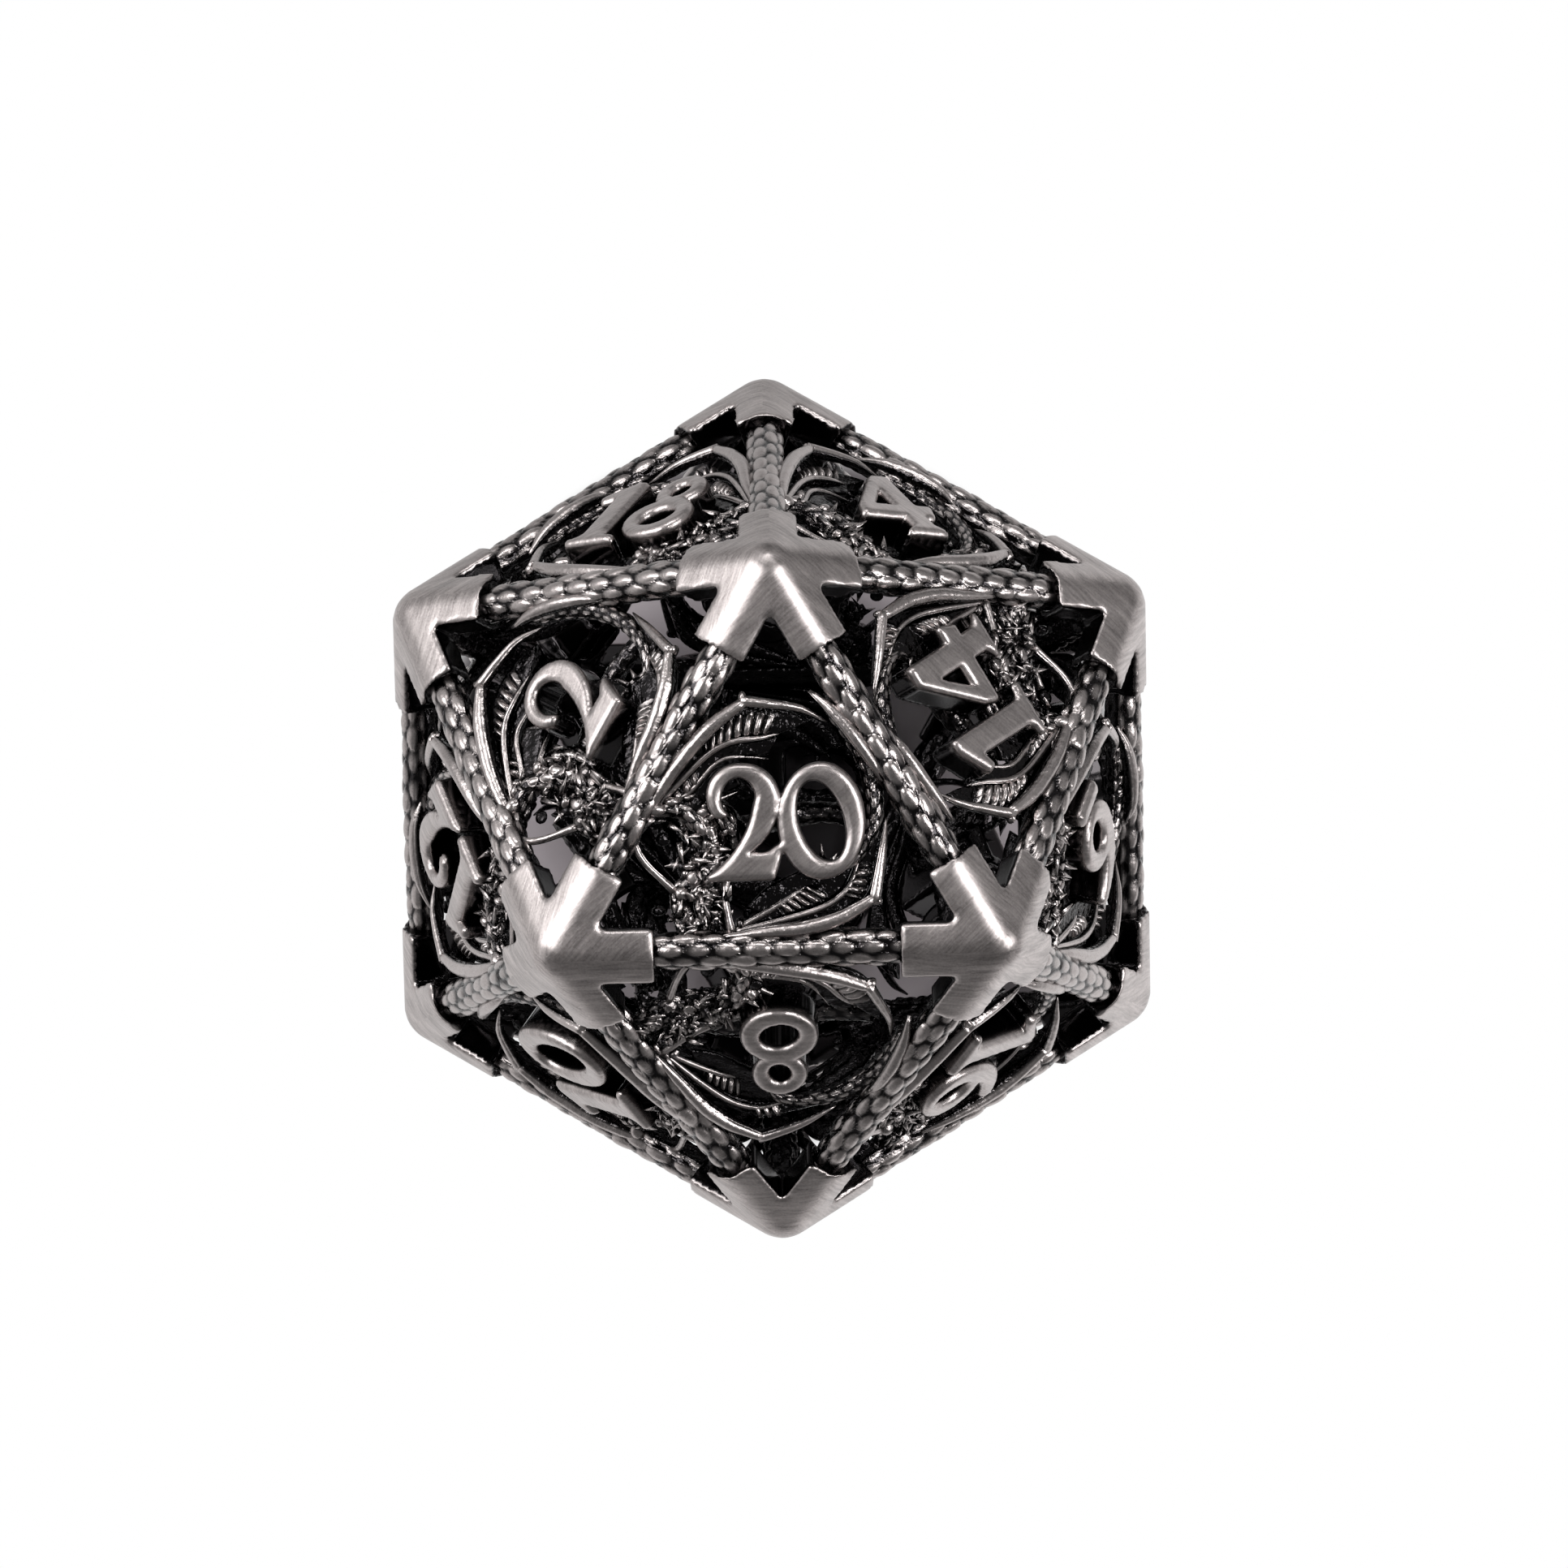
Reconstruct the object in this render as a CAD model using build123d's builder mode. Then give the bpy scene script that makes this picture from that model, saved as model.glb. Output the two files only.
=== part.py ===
"""Hollow metal twenty-sided die: corner caps, scaled rods, raised numerals and a dragon in each face.

The die is an icosahedron frame. Twelve five-armed caps hold the corners, thirty round rods run
along the edges between them, and each of the twenty faces is an open window filled by a flat
dragon that carries the face's numeral. Millimetres. The die lies on the face marked 1 at Z = 0,
the face marked 20 is uppermost, and the origin is under the die's centre.
"""
from build123d import *
import os
from math import acos, cos, degrees, radians, sin, sqrt

# Driving dimensions
EDGE = 15.2                    # ideal corner to corner along one edge
CAP_ARM = 0.241 * EDGE         # a cap's arm, from the ideal corner along the edge
CAP_HALF_WIDTH = 0.07 * EDGE   # an arm's width on each of the two facets beside its ridge
CAP_WALL = 1.25                # a cap's thickness square to its facets
ROD_RADIUS = 0.64
ROD_CROWN = 0.16               # the rod's top line lies this far below the ideal edge
ROD_SOCKET = 2.0               # the rod starts this far from the ideal corner, inside the cap
NUMERAL_HEIGHT = 0.24 * EDGE
NUMERAL_SINK = 0.1             # numeral tops lie this far below the face plane
NUMERAL_DEPTH = 1.25
BAR_LENGTH = 0.4 * EDGE        # the tail bar that carries the numeral from behind
BAR_WIDTH = 0.045 * EDGE
BAR_DEPTH = 0.7
BARRED = (6, 9)                # numerals with a short bar at the foot, so they can't be mistaken
BAR_SPINE = 1.5 * NUMERAL_HEIGHT
NUDGED = {20: 0.07}            # numerals set off to their right, as a share of their height
PANEL_DEPTH = 3.0              # nothing in a face's window goes deeper than this

# Icosahedron proportions
GOLDEN = (1 + sqrt(5)) / 2
FACE_HEIGHT = EDGE * GOLDEN**2 / (2 * sqrt(3))   # centre of the die to a face
TIER_HEIGHT = EDGE / (2 * sqrt(3) * GOLDEN)      # centre of the die to the two middle tiers
END_RADIUS = EDGE / sqrt(3)                      # corners of the top and base faces
TIER_RADIUS = EDGE * GOLDEN / sqrt(3)            # corners of the two middle tiers
FACE_APOTHEM = EDGE / (2 * sqrt(3))
DIHEDRAL = degrees(acos(-sqrt(5) / 3))
CENTRE = Vector(0, 0, FACE_HEIGHT)


def tier(prefix, radius, height, bearings):
    """Name three corners of one tier by compass bearing, with north along +Y."""
    around = {name: Vector(radius, 0, height).rotate(Axis.Z, angle) for name, angle in bearings}
    return {f"{prefix}_{name}": CENTRE + point for name, point in around.items()}


NORTHERLY = (("north", 90), ("southwest", 210), ("southeast", 330))
SOUTHERLY = (("south", 270), ("northeast", 30), ("northwest", 150))
CORNERS = {
    **tier("top", END_RADIUS, FACE_HEIGHT, NORTHERLY),
    **tier("upper", TIER_RADIUS, TIER_HEIGHT, SOUTHERLY),
    **tier("lower", TIER_RADIUS, -TIER_HEIGHT, NORTHERLY),
    **tier("base", END_RADIUS, -FACE_HEIGHT, SOUTHERLY),
}

# Each numeral with its face's corners, the dragon's upward corner first, and the numeral's turn
# from the dragon's upward direction. Opposite faces add up to 21.
FACES = {
    1: ("base_south", "base_northwest", "base_northeast", 0),
    2: ("upper_northwest", "top_north", "top_southwest", 0),
    3: ("upper_south", "base_south", "lower_southeast", -120),
    4: ("lower_north", "top_north", "upper_northeast", 0),
    5: ("base_northwest", "lower_north", "upper_northwest", 0),
    6: ("upper_northeast", "top_southeast", "lower_southeast", -120),
    7: ("base_northwest", "base_south", "lower_southwest", -120),
    8: ("top_southeast", "top_southwest", "upper_south", -120),
    9: ("lower_southeast", "base_northeast", "upper_northeast", 0),
    10: ("lower_southwest", "top_southwest", "upper_south", 0),
    11: ("lower_north", "base_northeast", "upper_northeast", -120),
    12: ("lower_southwest", "upper_northwest", "top_southwest", 0),
    13: ("lower_north", "base_northwest", "base_northeast", -60),
    14: ("top_southeast", "top_north", "upper_northeast", -60),
    15: ("base_northwest", "upper_northwest", "lower_southwest", 0),
    16: ("top_southeast", "upper_south", "lower_southeast", -120),
    17: ("lower_southwest", "base_south", "upper_south", -120),
    18: ("upper_northwest", "top_north", "lower_north", -120),
    19: ("base_south", "base_northeast", "lower_southeast", 0),
    20: ("top_north", "top_southwest", "top_southeast", 0),
}

# Rods are grouped by the two tiers that they join
ROD_GROUPS = {
    ("top", "top"): "rods_top_triangle",
    ("top", "upper"): "rods_upper_slant",
    ("lower", "top"): "rods_upper_drop",
    ("lower", "upper"): "rods_waist_zigzag",
    ("base", "upper"): "rods_lower_drop",
    ("base", "lower"): "rods_lower_slant",
    ("base", "base"): "rods_base_triangle",
}


def save(part, name):
    """Label a finished node and write its STEP file."""
    part.label = name
    export_step(part, f"parts/{name}.step")


def face_plane(names):
    """Plane of a face: origin at its centroid, Z outwards, Y towards its first corner."""
    points = [CORNERS[name] for name in names[:3]]
    middle = (points[0] + points[1] + points[2]) / 3
    outward = (middle - CENTRE).normalized()
    upward = (points[0] - middle).normalized()
    return Plane(origin=middle, x_dir=upward.cross(outward), z_dir=outward)


def neighbours(name):
    """Corners one edge away from the named corner."""
    distances = {other: (point - CORNERS[name]).length for other, point in CORNERS.items()}
    return [other for other, distance in distances.items() if abs(distance - EDGE) < 0.01 * EDGE]


def faces_at(name):
    """Planes of the five faces that meet at the named corner, each with that corner upward."""
    planes = []
    for *names, _ in FACES.values():
        if name in names:
            names.remove(name)
            planes.append(face_plane((name, *names)))
    return planes


# Digit outlines, drawn one unit high about the origin in the manner of a broad pen

def digit_zero():
    with BuildSketch() as digit:
        Ellipse(0.37, 0.5)
        Ellipse(0.21, 0.38, rotation=16, mode=Mode.SUBTRACT)
    return digit.sketch


def digit_one():
    with BuildSketch() as digit:
        with BuildLine():
            Polyline((0.24, -0.43), (0.25, -0.5), (-0.25, -0.5), (-0.24, -0.43))
            ThreePointArc((-0.24, -0.43), (-0.14, -0.41), (-0.11, -0.34))
            Polyline((-0.11, -0.34), (-0.11, 0.27), (-0.25, 0.22), (-0.28, 0.3), (0.02, 0.5), (0.11, 0.5),
                     (0.11, -0.34))
            ThreePointArc((0.11, -0.34), (0.14, -0.41), (0.24, -0.43))
        make_face()
    return digit.sketch


def digit_two():
    with BuildSketch() as digit:
        with BuildLine():
            ThreePointArc((-0.22, 0.05), (-0.26, 0.35), (0.0, 0.5))
            ThreePointArc((0.0, 0.5), (0.24, 0.41), (0.33, 0.17))
            ThreePointArc((0.33, 0.17), (0.24, -0.08), (0.03, -0.28))
            Polyline((0.03, -0.28), (0.22, -0.28), (0.37, -0.18), (0.27, -0.5), (-0.33, -0.5))
            ThreePointArc((-0.33, -0.5), (0.0, -0.18), (0.12, 0.15))
            ThreePointArc((0.12, 0.15), (0.1, 0.34), (-0.03, 0.41))
            ThreePointArc((-0.03, 0.41), (-0.17, 0.3), (-0.12, 0.06))
            Line((-0.12, 0.06), (-0.22, 0.05))
        make_face()
    return digit.sketch


def digit_three():
    with BuildSketch() as digit:
        with BuildLine():
            ThreePointArc((-0.29, 0.28), (-0.03, 0.5), (0.22, 0.29))
            ThreePointArc((0.22, 0.29), (0.19, 0.15), (0.06, 0.06))
            ThreePointArc((0.06, 0.06), (0.29, -0.18), (0.1, -0.44))
            ThreePointArc((0.1, -0.44), (-0.1, -0.5), (-0.32, -0.41))
            Line((-0.32, -0.41), (-0.27, -0.32))
            ThreePointArc((-0.27, -0.32), (-0.02, -0.38), (0.08, -0.17))
            ThreePointArc((0.08, -0.17), (0.02, -0.01), (-0.13, 0.0))
            Line((-0.13, 0.0), (-0.13, 0.1))
            ThreePointArc((-0.13, 0.1), (0.0, 0.17), (0.0, 0.3))
            ThreePointArc((0.0, 0.3), (-0.1, 0.38), (-0.21, 0.25))
            Line((-0.21, 0.25), (-0.29, 0.28))
        make_face()
    return digit.sketch


def digit_four():
    with BuildSketch() as digit:
        Polygon((0.06, 0.5), (0.23, 0.5), (0.23, -0.03), (0.4, -0.03), (0.34, -0.22), (0.23, -0.22),
                (0.23, -0.4), (0.34, -0.5), (-0.1, -0.5), (0.02, -0.4), (0.02, -0.22), (-0.42, -0.22),
                (-0.38, -0.07), align=None)
        Polygon((0.02, 0.28), (0.02, -0.05), (-0.22, -0.05), align=None, mode=Mode.SUBTRACT)
    return digit.sketch


def digit_five():
    with BuildSketch() as digit:
        with BuildLine():
            Polyline((-0.24, 0.0), (-0.17, 0.5), (0.3, 0.5), (0.2, 0.33), (-0.06, 0.33), (-0.09, 0.17))
            ThreePointArc((-0.09, 0.17), (0.31, -0.02), (0.12, -0.42))
            ThreePointArc((0.12, -0.42), (-0.1, -0.5), (-0.33, -0.42))
            Line((-0.33, -0.42), (-0.28, -0.33))
            ThreePointArc((-0.28, -0.33), (-0.02, -0.37), (0.09, -0.14))
            ThreePointArc((0.09, -0.14), (0.0, 0.02), (-0.24, 0.0))
        make_face()
    return digit.sketch


def digit_six():
    with BuildSketch() as digit:
        with Locations((0, -0.19)):
            Circle(0.31)
        with BuildLine():
            ThreePointArc((-0.31, -0.19), (-0.16, 0.29), (0.24, 0.5))
            Line((0.24, 0.5), (0.28, 0.42))
            ThreePointArc((0.28, 0.42), (-0.02, 0.17), (-0.12, -0.19))
            Line((-0.12, -0.19), (-0.31, -0.19))
        make_face()
        with Locations((0.01, -0.2)):
            Ellipse(0.14, 0.2, rotation=16, mode=Mode.SUBTRACT)
    return digit.sketch


def digit_seven():
    with BuildSketch() as digit:
        with BuildLine():
            Polyline((0.13, 0.34), (-0.19, 0.34), (-0.27, 0.2), (-0.34, 0.23), (-0.29, 0.5), (0.33, 0.5))
            ThreePointArc((0.33, 0.5), (0.11, 0.08), (0.06, -0.5))
            Line((0.06, -0.5), (-0.16, -0.5))
            ThreePointArc((-0.16, -0.5), (-0.08, -0.02), (0.13, 0.34))
        make_face()
    return digit.sketch


def digit_eight():
    with BuildSketch() as digit:
        with Locations((0, -0.2)):
            Ellipse(0.33, 0.3)
        with Locations((0, 0.27)):
            Circle(0.23)
        with Locations((0, -0.2)):
            Ellipse(0.19, 0.16, rotation=16, mode=Mode.SUBTRACT)
        with Locations((0, 0.26)):
            Ellipse(0.11, 0.13, rotation=16, mode=Mode.SUBTRACT)
    return digit.sketch


def digit_nine():
    with BuildSketch() as digit:
        with Locations(Rotation(0, 0, 180)):
            add(digit_six())
    return digit.sketch


DIGITS = {
    "0": (digit_zero(), 0.72),
    "1": (digit_one(), 0.56),
    "2": (digit_two(), 0.68),
    "3": (digit_three(), 0.6),
    "4": (digit_four(), 0.7),
    "5": (digit_five(), 0.63),
    "6": (digit_six(), 0.64),
    "7": (digit_seven(), 0.64),
    "8": (digit_eight(), 0.64),
    "9": (digit_nine(), 0.64),
}


def numeral_outline(number):
    """Digits side by side about the origin; 6 and 9 get a short bar at the foot to tell them apart."""
    text = str(number)
    total = sum(DIGITS[character][1] for character in text)
    with BuildSketch() as outline:
        pen = NUDGED.get(number, 0) - total / 2
        for character in text:
            shape, width = DIGITS[character]
            with Locations((pen + width / 2, 0)):
                add(shape)
            pen += width
        if number in BARRED:
            with Locations((0, -0.66)):
                Rectangle(0.42, 0.13)
    return scale(outline.sketch, by=NUMERAL_HEIGHT)


# Dragon, drawn in fractions of the edge about the face's centre, with its upward corner at +Y

def strip(points, width):
    """Flat strip of even width along a run of points."""
    with BuildSketch() as band:
        with BuildLine():
            Polyline(*points)
        trace(line_width=width)
    return band.sketch


def wing_spars():
    """The two polished leading edges, each with its angular wrist."""
    with BuildSketch() as spars:
        add(strip([(-0.285, -0.005), (-0.205, 0.115), (-0.13, 0.2), (-0.055, 0.25)], 0.026))
        add(strip([(-0.06, 0.25), (0.03, 0.24), (0.115, 0.21)], 0.018))
        add(strip([(-0.11, -0.236), (0.07, -0.224), (0.15, -0.198), (0.205, -0.162)], 0.026))
        add(strip([(0.205, -0.166), (0.226, -0.085), (0.234, 0.0)], 0.018))
    return scale(spars.sketch, by=EDGE)


def wing_fingers():
    """Thin bones that fan out under each spar, the dragon's forelegs and its jaw."""
    with BuildSketch() as fingers:
        add(strip([(-0.262, 0.022), (-0.17, 0.11), (-0.1, 0.166), (0.01, 0.176)], 0.012))
        add(strip([(-0.25, 0.02), (-0.175, 0.062), (-0.115, 0.126), (-0.02, 0.134)], 0.012))
        add(strip([(-0.25, 0.02), (-0.17, 0.028), (-0.06, 0.066)], 0.012))
        add(strip([(-0.09, -0.228), (0.02, -0.168), (0.09, -0.12)], 0.012))
        add(strip([(-0.09, -0.228), (0.11, -0.186), (0.158, -0.14), (0.176, -0.08)], 0.012))
        add(strip([(-0.1, -0.12), (-0.106, -0.18), (-0.095, -0.232)], 0.014))
        add(strip([(-0.262, 0.01), (-0.294, -0.03), (-0.27, -0.085), (-0.21, -0.14)], 0.014))
        add(strip([(-0.195, -0.19), (-0.2, -0.238)], 0.018))
        add(strip([(-0.15, -0.19), (-0.148, -0.238)], 0.018))
    return scale(fingers.sketch, by=EDGE)


def wing_membranes():
    """Recessed skins between each spar and its bones."""
    with BuildSketch() as skins:
        Polygon((-0.27, 0.02), (-0.2, 0.12), (-0.13, 0.2), (-0.055, 0.25), (0.03, 0.24), (0.07, 0.2),
                (0.01, 0.17), (-0.02, 0.128), (-0.11, 0.12), (-0.17, 0.055), (-0.23, 0.015), align=None)
        Polygon((-0.1, -0.236), (0.07, -0.224), (0.15, -0.198), (0.205, -0.162), (0.226, -0.085),
                (0.228, -0.04), (0.2, -0.075), (0.17, -0.085), (0.15, -0.13), (0.09, -0.12),
                (0.0, -0.175), align=None)
    return scale(skins.sketch, by=EDGE)


def body():
    """Head at the left rod, and the coiled body and hind legs below it."""
    with BuildSketch() as mass:
        Polygon((-0.275, 0.03), (-0.2, 0.046), (-0.12, 0.02), (-0.09, -0.03), (-0.09, -0.11),
                (-0.115, -0.19), (-0.15, -0.21), (-0.2, -0.2), (-0.235, -0.145), (-0.2, -0.12),
                (-0.2, -0.03), (-0.25, 0.004), align=None)
    return scale(mass.sketch, by=EDGE)


def tail():
    """Scaled tail, from the right rod down and in under the numeral's right side."""
    with BuildSketch() as band:
        route = [(0.125, 0.24), (0.2, 0.13), (0.21, 0.03), (0.19, -0.06), (0.14, -0.1), (0.105, -0.08)]
        add(strip(route, 0.036))
    return scale(band.sketch, by=EDGE)


# Depths below the face plane of each layer of the dragon: its top, then its thickness
SPAR_LAYER = (0.3, 1.0)
FINGER_LAYER = (0.6, 0.75)
SKIN_LAYER = (1.0, 0.4)
BODY_LAYER = (0.55, 1.5)
TAIL_LAYER = (0.5, 1.15)


def make_dragon_panel():
    """One dragon in a face's own frame, trimmed to its window and to the rods around it."""
    layers = (
        (wing_spars(), SPAR_LAYER),
        (wing_fingers(), FINGER_LAYER),
        (wing_membranes(), SKIN_LAYER),
        (body(), BODY_LAYER),
        (tail(), TAIL_LAYER),
    )
    lean = radians(DIHEDRAL / 2)
    rod_depth = ROD_RADIUS + ROD_CROWN
    with BuildPart() as panel:
        for outline, (top, thickness) in layers:
            with BuildSketch(Plane.XY.offset(-top)):
                add(outline)
            extrude(amount=-thickness)
        with BuildSketch(Plane.XY):
            RegularPolygon(radius=2 * FACE_APOTHEM, side_count=3, rotation=90)
        extrude(amount=-PANEL_DEPTH, taper=90 - DIHEDRAL / 2, mode=Mode.INTERSECT)
        for angle in (30, 150, 270):
            side = Vector(cos(radians(angle)), sin(radians(angle)), 0)
            axis_point = side * (FACE_APOTHEM - rod_depth * cos(lean)) - Vector(0, 0, rod_depth * sin(lean))
            with Locations(Plane(origin=axis_point, x_dir=side, z_dir=side.cross(Vector(0, 0, 1)))):
                Cylinder(ROD_RADIUS, EDGE, mode=Mode.SUBTRACT)
    return panel.part


def make_numeral(outline, plane):
    """Numeral standing square to its face, its top just below the face plane."""
    with BuildPart() as numeral:
        with BuildSketch(plane.offset(-NUMERAL_SINK)):
            add(outline)
        extrude(amount=-NUMERAL_DEPTH)
    return numeral.part


def make_dragon(number, panel, outline, dragon_plane, numeral_plane):
    """Dragon in its face, cleared around the numeral, with the bar that carries the numeral.

    Only the largest solid is kept, because a numeral can cut the tip off a wing bone.
    """
    bar_top = NUMERAL_SINK + NUMERAL_DEPTH
    with BuildPart() as dragon:
        with Locations(dragon_plane):
            add(panel)
        with BuildSketch(numeral_plane):
            add(outline)
        extrude(amount=-bar_top, mode=Mode.SUBTRACT)
        with BuildSketch(numeral_plane.offset(-bar_top)):
            Rectangle(BAR_LENGTH, BAR_WIDTH)
            if number in BARRED:
                Rectangle(BAR_WIDTH, BAR_SPINE)
        extrude(amount=-BAR_DEPTH)
    with BuildPart() as largest:
        add(dragon.part.solids().sort_by(SortBy.VOLUME)[-1])
    return largest.part


def make_rod(start, end):
    """Round rod along one edge, from inside one cap to inside the other."""
    along = (end - start).normalized()
    middle = (start + end) / 2
    inward = (CENTRE - middle).normalized()
    with BuildPart() as rod:
        with Locations(Plane(origin=middle + inward * (ROD_RADIUS + ROD_CROWN), z_dir=along)):
            Cylinder(ROD_RADIUS, EDGE - 2 * ROD_SOCKET)
    return rod.part


def make_pyramid(corner, planes, size):
    """Solid five-sided corner that lies below every one of the given planes."""
    with BuildPart() as pyramid:
        with Locations(corner):
            Sphere(size)
        for plane in planes:
            split(bisect_by=plane, keep=Keep.BOTTOM)
    return pyramid.part


def make_cap(name, rods):
    """Five-armed hollow corner cap with a socket in each arm."""
    corner = CORNERS[name]
    around = neighbours(name)
    faces = faces_at(name)
    ends = []
    for other in around:
        along = (CORNERS[other] - corner).normalized()
        ends.append(Plane(origin=corner + along * CAP_ARM, z_dir=along))
    core = make_pyramid(corner, [plane.offset(-CAP_WALL) for plane in faces], 2 * CAP_ARM)
    with BuildPart() as cap:
        add(make_pyramid(corner, faces + ends, 1.5 * CAP_ARM))
        add(core, mode=Mode.SUBTRACT)
        for plane in faces:
            with BuildSketch(plane):
                with Locations((0, -2 * CAP_HALF_WIDTH)):
                    RegularPolygon(radius=2 * FACE_APOTHEM, side_count=3, rotation=90)
            extrude(amount=2 * CAP_WALL, both=True, mode=Mode.SUBTRACT)
        add([rods[frozenset((name, other))] for other in around], mode=Mode.SUBTRACT)
    return cap.part


def build():
    """Make every node and write it."""
    os.makedirs("parts", exist_ok=True)
    rods = {}
    groups = {group: [] for group in ROD_GROUPS.values()}
    for name in CORNERS:
        for other in neighbours(name):
            pair = frozenset((name, other))
            if pair in rods:
                continue
            rods[pair] = make_rod(CORNERS[name], CORNERS[other])
            tiers = tuple(sorted(corner.split("_")[0] for corner in pair))
            groups[ROD_GROUPS[tiers]].append(rods[pair])
    for group, members in groups.items():
        with BuildPart() as rod_group:
            add(members)
        save(rod_group.part, group)
    for name in CORNERS:
        save(make_cap(name, rods), f"corner_cap_{name}")
    panel = make_dragon_panel()
    for number, (*names, turn) in FACES.items():
        outline = numeral_outline(number)
        dragon_plane = face_plane(names)
        numeral_plane = Plane(dragon_plane.location * Rotation(0, 0, turn))
        save(make_numeral(outline, numeral_plane), f"numeral_{number:02d}")
        save(make_dragon(number, panel, outline, dragon_plane, numeral_plane), f"dragon_{number:02d}")


build()
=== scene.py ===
import math
import random

import bmesh
import bpy
import numpy as np
from mathutils import Matrix, Vector


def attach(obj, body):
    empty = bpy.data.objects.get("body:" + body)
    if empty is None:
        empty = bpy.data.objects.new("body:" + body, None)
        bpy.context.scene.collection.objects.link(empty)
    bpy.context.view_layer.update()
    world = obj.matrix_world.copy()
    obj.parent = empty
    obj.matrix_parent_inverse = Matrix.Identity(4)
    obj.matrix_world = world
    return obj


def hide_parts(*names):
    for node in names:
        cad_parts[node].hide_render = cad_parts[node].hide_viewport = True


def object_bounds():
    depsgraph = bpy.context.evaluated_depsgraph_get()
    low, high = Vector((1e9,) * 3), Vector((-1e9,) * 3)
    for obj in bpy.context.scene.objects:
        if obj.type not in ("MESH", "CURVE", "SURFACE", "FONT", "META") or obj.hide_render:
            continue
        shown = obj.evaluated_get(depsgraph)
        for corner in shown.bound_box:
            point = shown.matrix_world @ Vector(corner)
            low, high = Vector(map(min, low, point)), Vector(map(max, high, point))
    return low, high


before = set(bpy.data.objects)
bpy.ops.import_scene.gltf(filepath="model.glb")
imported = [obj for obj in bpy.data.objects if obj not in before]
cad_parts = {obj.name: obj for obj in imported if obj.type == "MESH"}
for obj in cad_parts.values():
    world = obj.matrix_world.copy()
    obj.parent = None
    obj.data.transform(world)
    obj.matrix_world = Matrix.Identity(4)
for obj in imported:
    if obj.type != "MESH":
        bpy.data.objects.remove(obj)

cad_low, cad_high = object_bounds()


# Corner caps. Twelve hollow five-armed pyramids of cast zinc alloy, plated antique silver. Each
# face of the die is sanded in one direction after plating, so the facets that share a face also
# share their fine scratches, while the black patina stays on the walls and in the hollow.

MM = 0.001
GOLDEN = (1 + math.sqrt(5)) / 2
RIDGE_ROUND = 0.38 * MM     # how far the rounding of a cap's five ridges reaches to each side
CAP_GRAIN = 0.11 * MM       # mesh size of a cap, small enough for its softened rims
CAP_SOFTENING = 6           # passes of smoothing
# The bar that thickens a cap under each ridge, in millimetres: its section, across and up from the
# ridge, and where it starts and ends along it from the corner
BAR_SECTION = ((0, -0.14), (0.42, -0.25), (0.42, -0.85), (-0.42, -0.85), (-0.42, -0.25))
BAR_REACH = (1.8, 3.5)
FLAT_ANGLE = 0.5            # degrees, under which two faces from CAD are one flat face
SHARP_ANGLE = 15            # degrees, over which an edge can be rounded
SILVER = (0.43, 0.39, 0.382, 1)
PATINA = (0.026, 0.024, 0.025, 1)

edge = (cad_high.z - cad_low.z) * math.sqrt(3) / GOLDEN**2
face_reach = (cad_high.z - cad_low.z) / 2
centre = Vector((0, 0, face_reach))


def tier(prefix, radius, height, bearings):
    """Three corners of one tier, named by compass bearing with north along +Y."""
    return {
        f"{prefix}_{name}": centre + Vector((radius * math.cos(math.radians(angle)),
                                             radius * math.sin(math.radians(angle)), height))
        for name, angle in bearings
    }


NORTHERLY = (("north", 90), ("southwest", 210), ("southeast", 330))
SOUTHERLY = (("south", 270), ("northeast", 30), ("northwest", 150))
tier_height = edge / (2 * math.sqrt(3) * GOLDEN)
corners = {
    **tier("top", edge / math.sqrt(3), face_reach, NORTHERLY),
    **tier("upper", edge * GOLDEN / math.sqrt(3), tier_height, SOUTHERLY),
    **tier("lower", edge * GOLDEN / math.sqrt(3), -tier_height, NORTHERLY),
    **tier("base", edge / math.sqrt(3), -face_reach, SOUTHERLY),
}

# Each numeral with its face's corners, the dragon's upward corner first, the numeral's turn from
# the dragon's upward direction, and the direction in which the face is sanded
faces = {
    1: ("base_south", "base_northwest", "base_northeast", 0, 40),
    2: ("upper_northwest", "top_north", "top_southwest", 0, 15),
    3: ("upper_south", "base_south", "lower_southeast", -120, 75),
    4: ("lower_north", "top_north", "upper_northeast", 0, 110),
    5: ("base_northwest", "lower_north", "upper_northwest", 0, 150),
    6: ("upper_northeast", "top_southeast", "lower_southeast", -120, 20),
    7: ("base_northwest", "base_south", "lower_southwest", -120, 95),
    8: ("top_southeast", "top_southwest", "upper_south", -120, 60),
    9: ("lower_southeast", "base_northeast", "upper_northeast", 0, 60),
    10: ("lower_southwest", "top_southwest", "upper_south", 0, 30),
    11: ("lower_north", "base_northeast", "upper_northeast", -120, 135),
    12: ("lower_southwest", "upper_northwest", "top_southwest", 0, 5),
    13: ("lower_north", "base_northwest", "base_northeast", -60, 80),
    14: ("top_southeast", "top_north", "upper_northeast", -60, 140),
    15: ("base_northwest", "upper_northwest", "lower_southwest", 0, 50),
    16: ("top_southeast", "upper_south", "lower_southeast", -120, 120),
    17: ("lower_southwest", "base_south", "upper_south", -120, 10),
    18: ("upper_northwest", "top_north", "lower_north", -120, 100),
    19: ("base_south", "base_northeast", "lower_southeast", 0, 65),
    20: ("top_north", "top_southwest", "top_southeast", 0, 42),
}


def face_frame(number, turn=0.0):
    """Matrix of a face: origin at its middle, Z outwards, Y to the dragon's upward corner, turned."""
    points = [corners[name] for name in faces[number][:3]]
    middle = (points[0] + points[1] + points[2]) / 3
    outward = (middle - centre).normalized()
    upward = (points[0] - middle).normalized()
    across = upward.cross(outward)
    axes = Matrix((across, upward, outward)).transposed().to_4x4()
    return Matrix.Translation(middle) @ axes @ Matrix.Rotation(math.radians(turn), 4, "Z")


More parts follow.
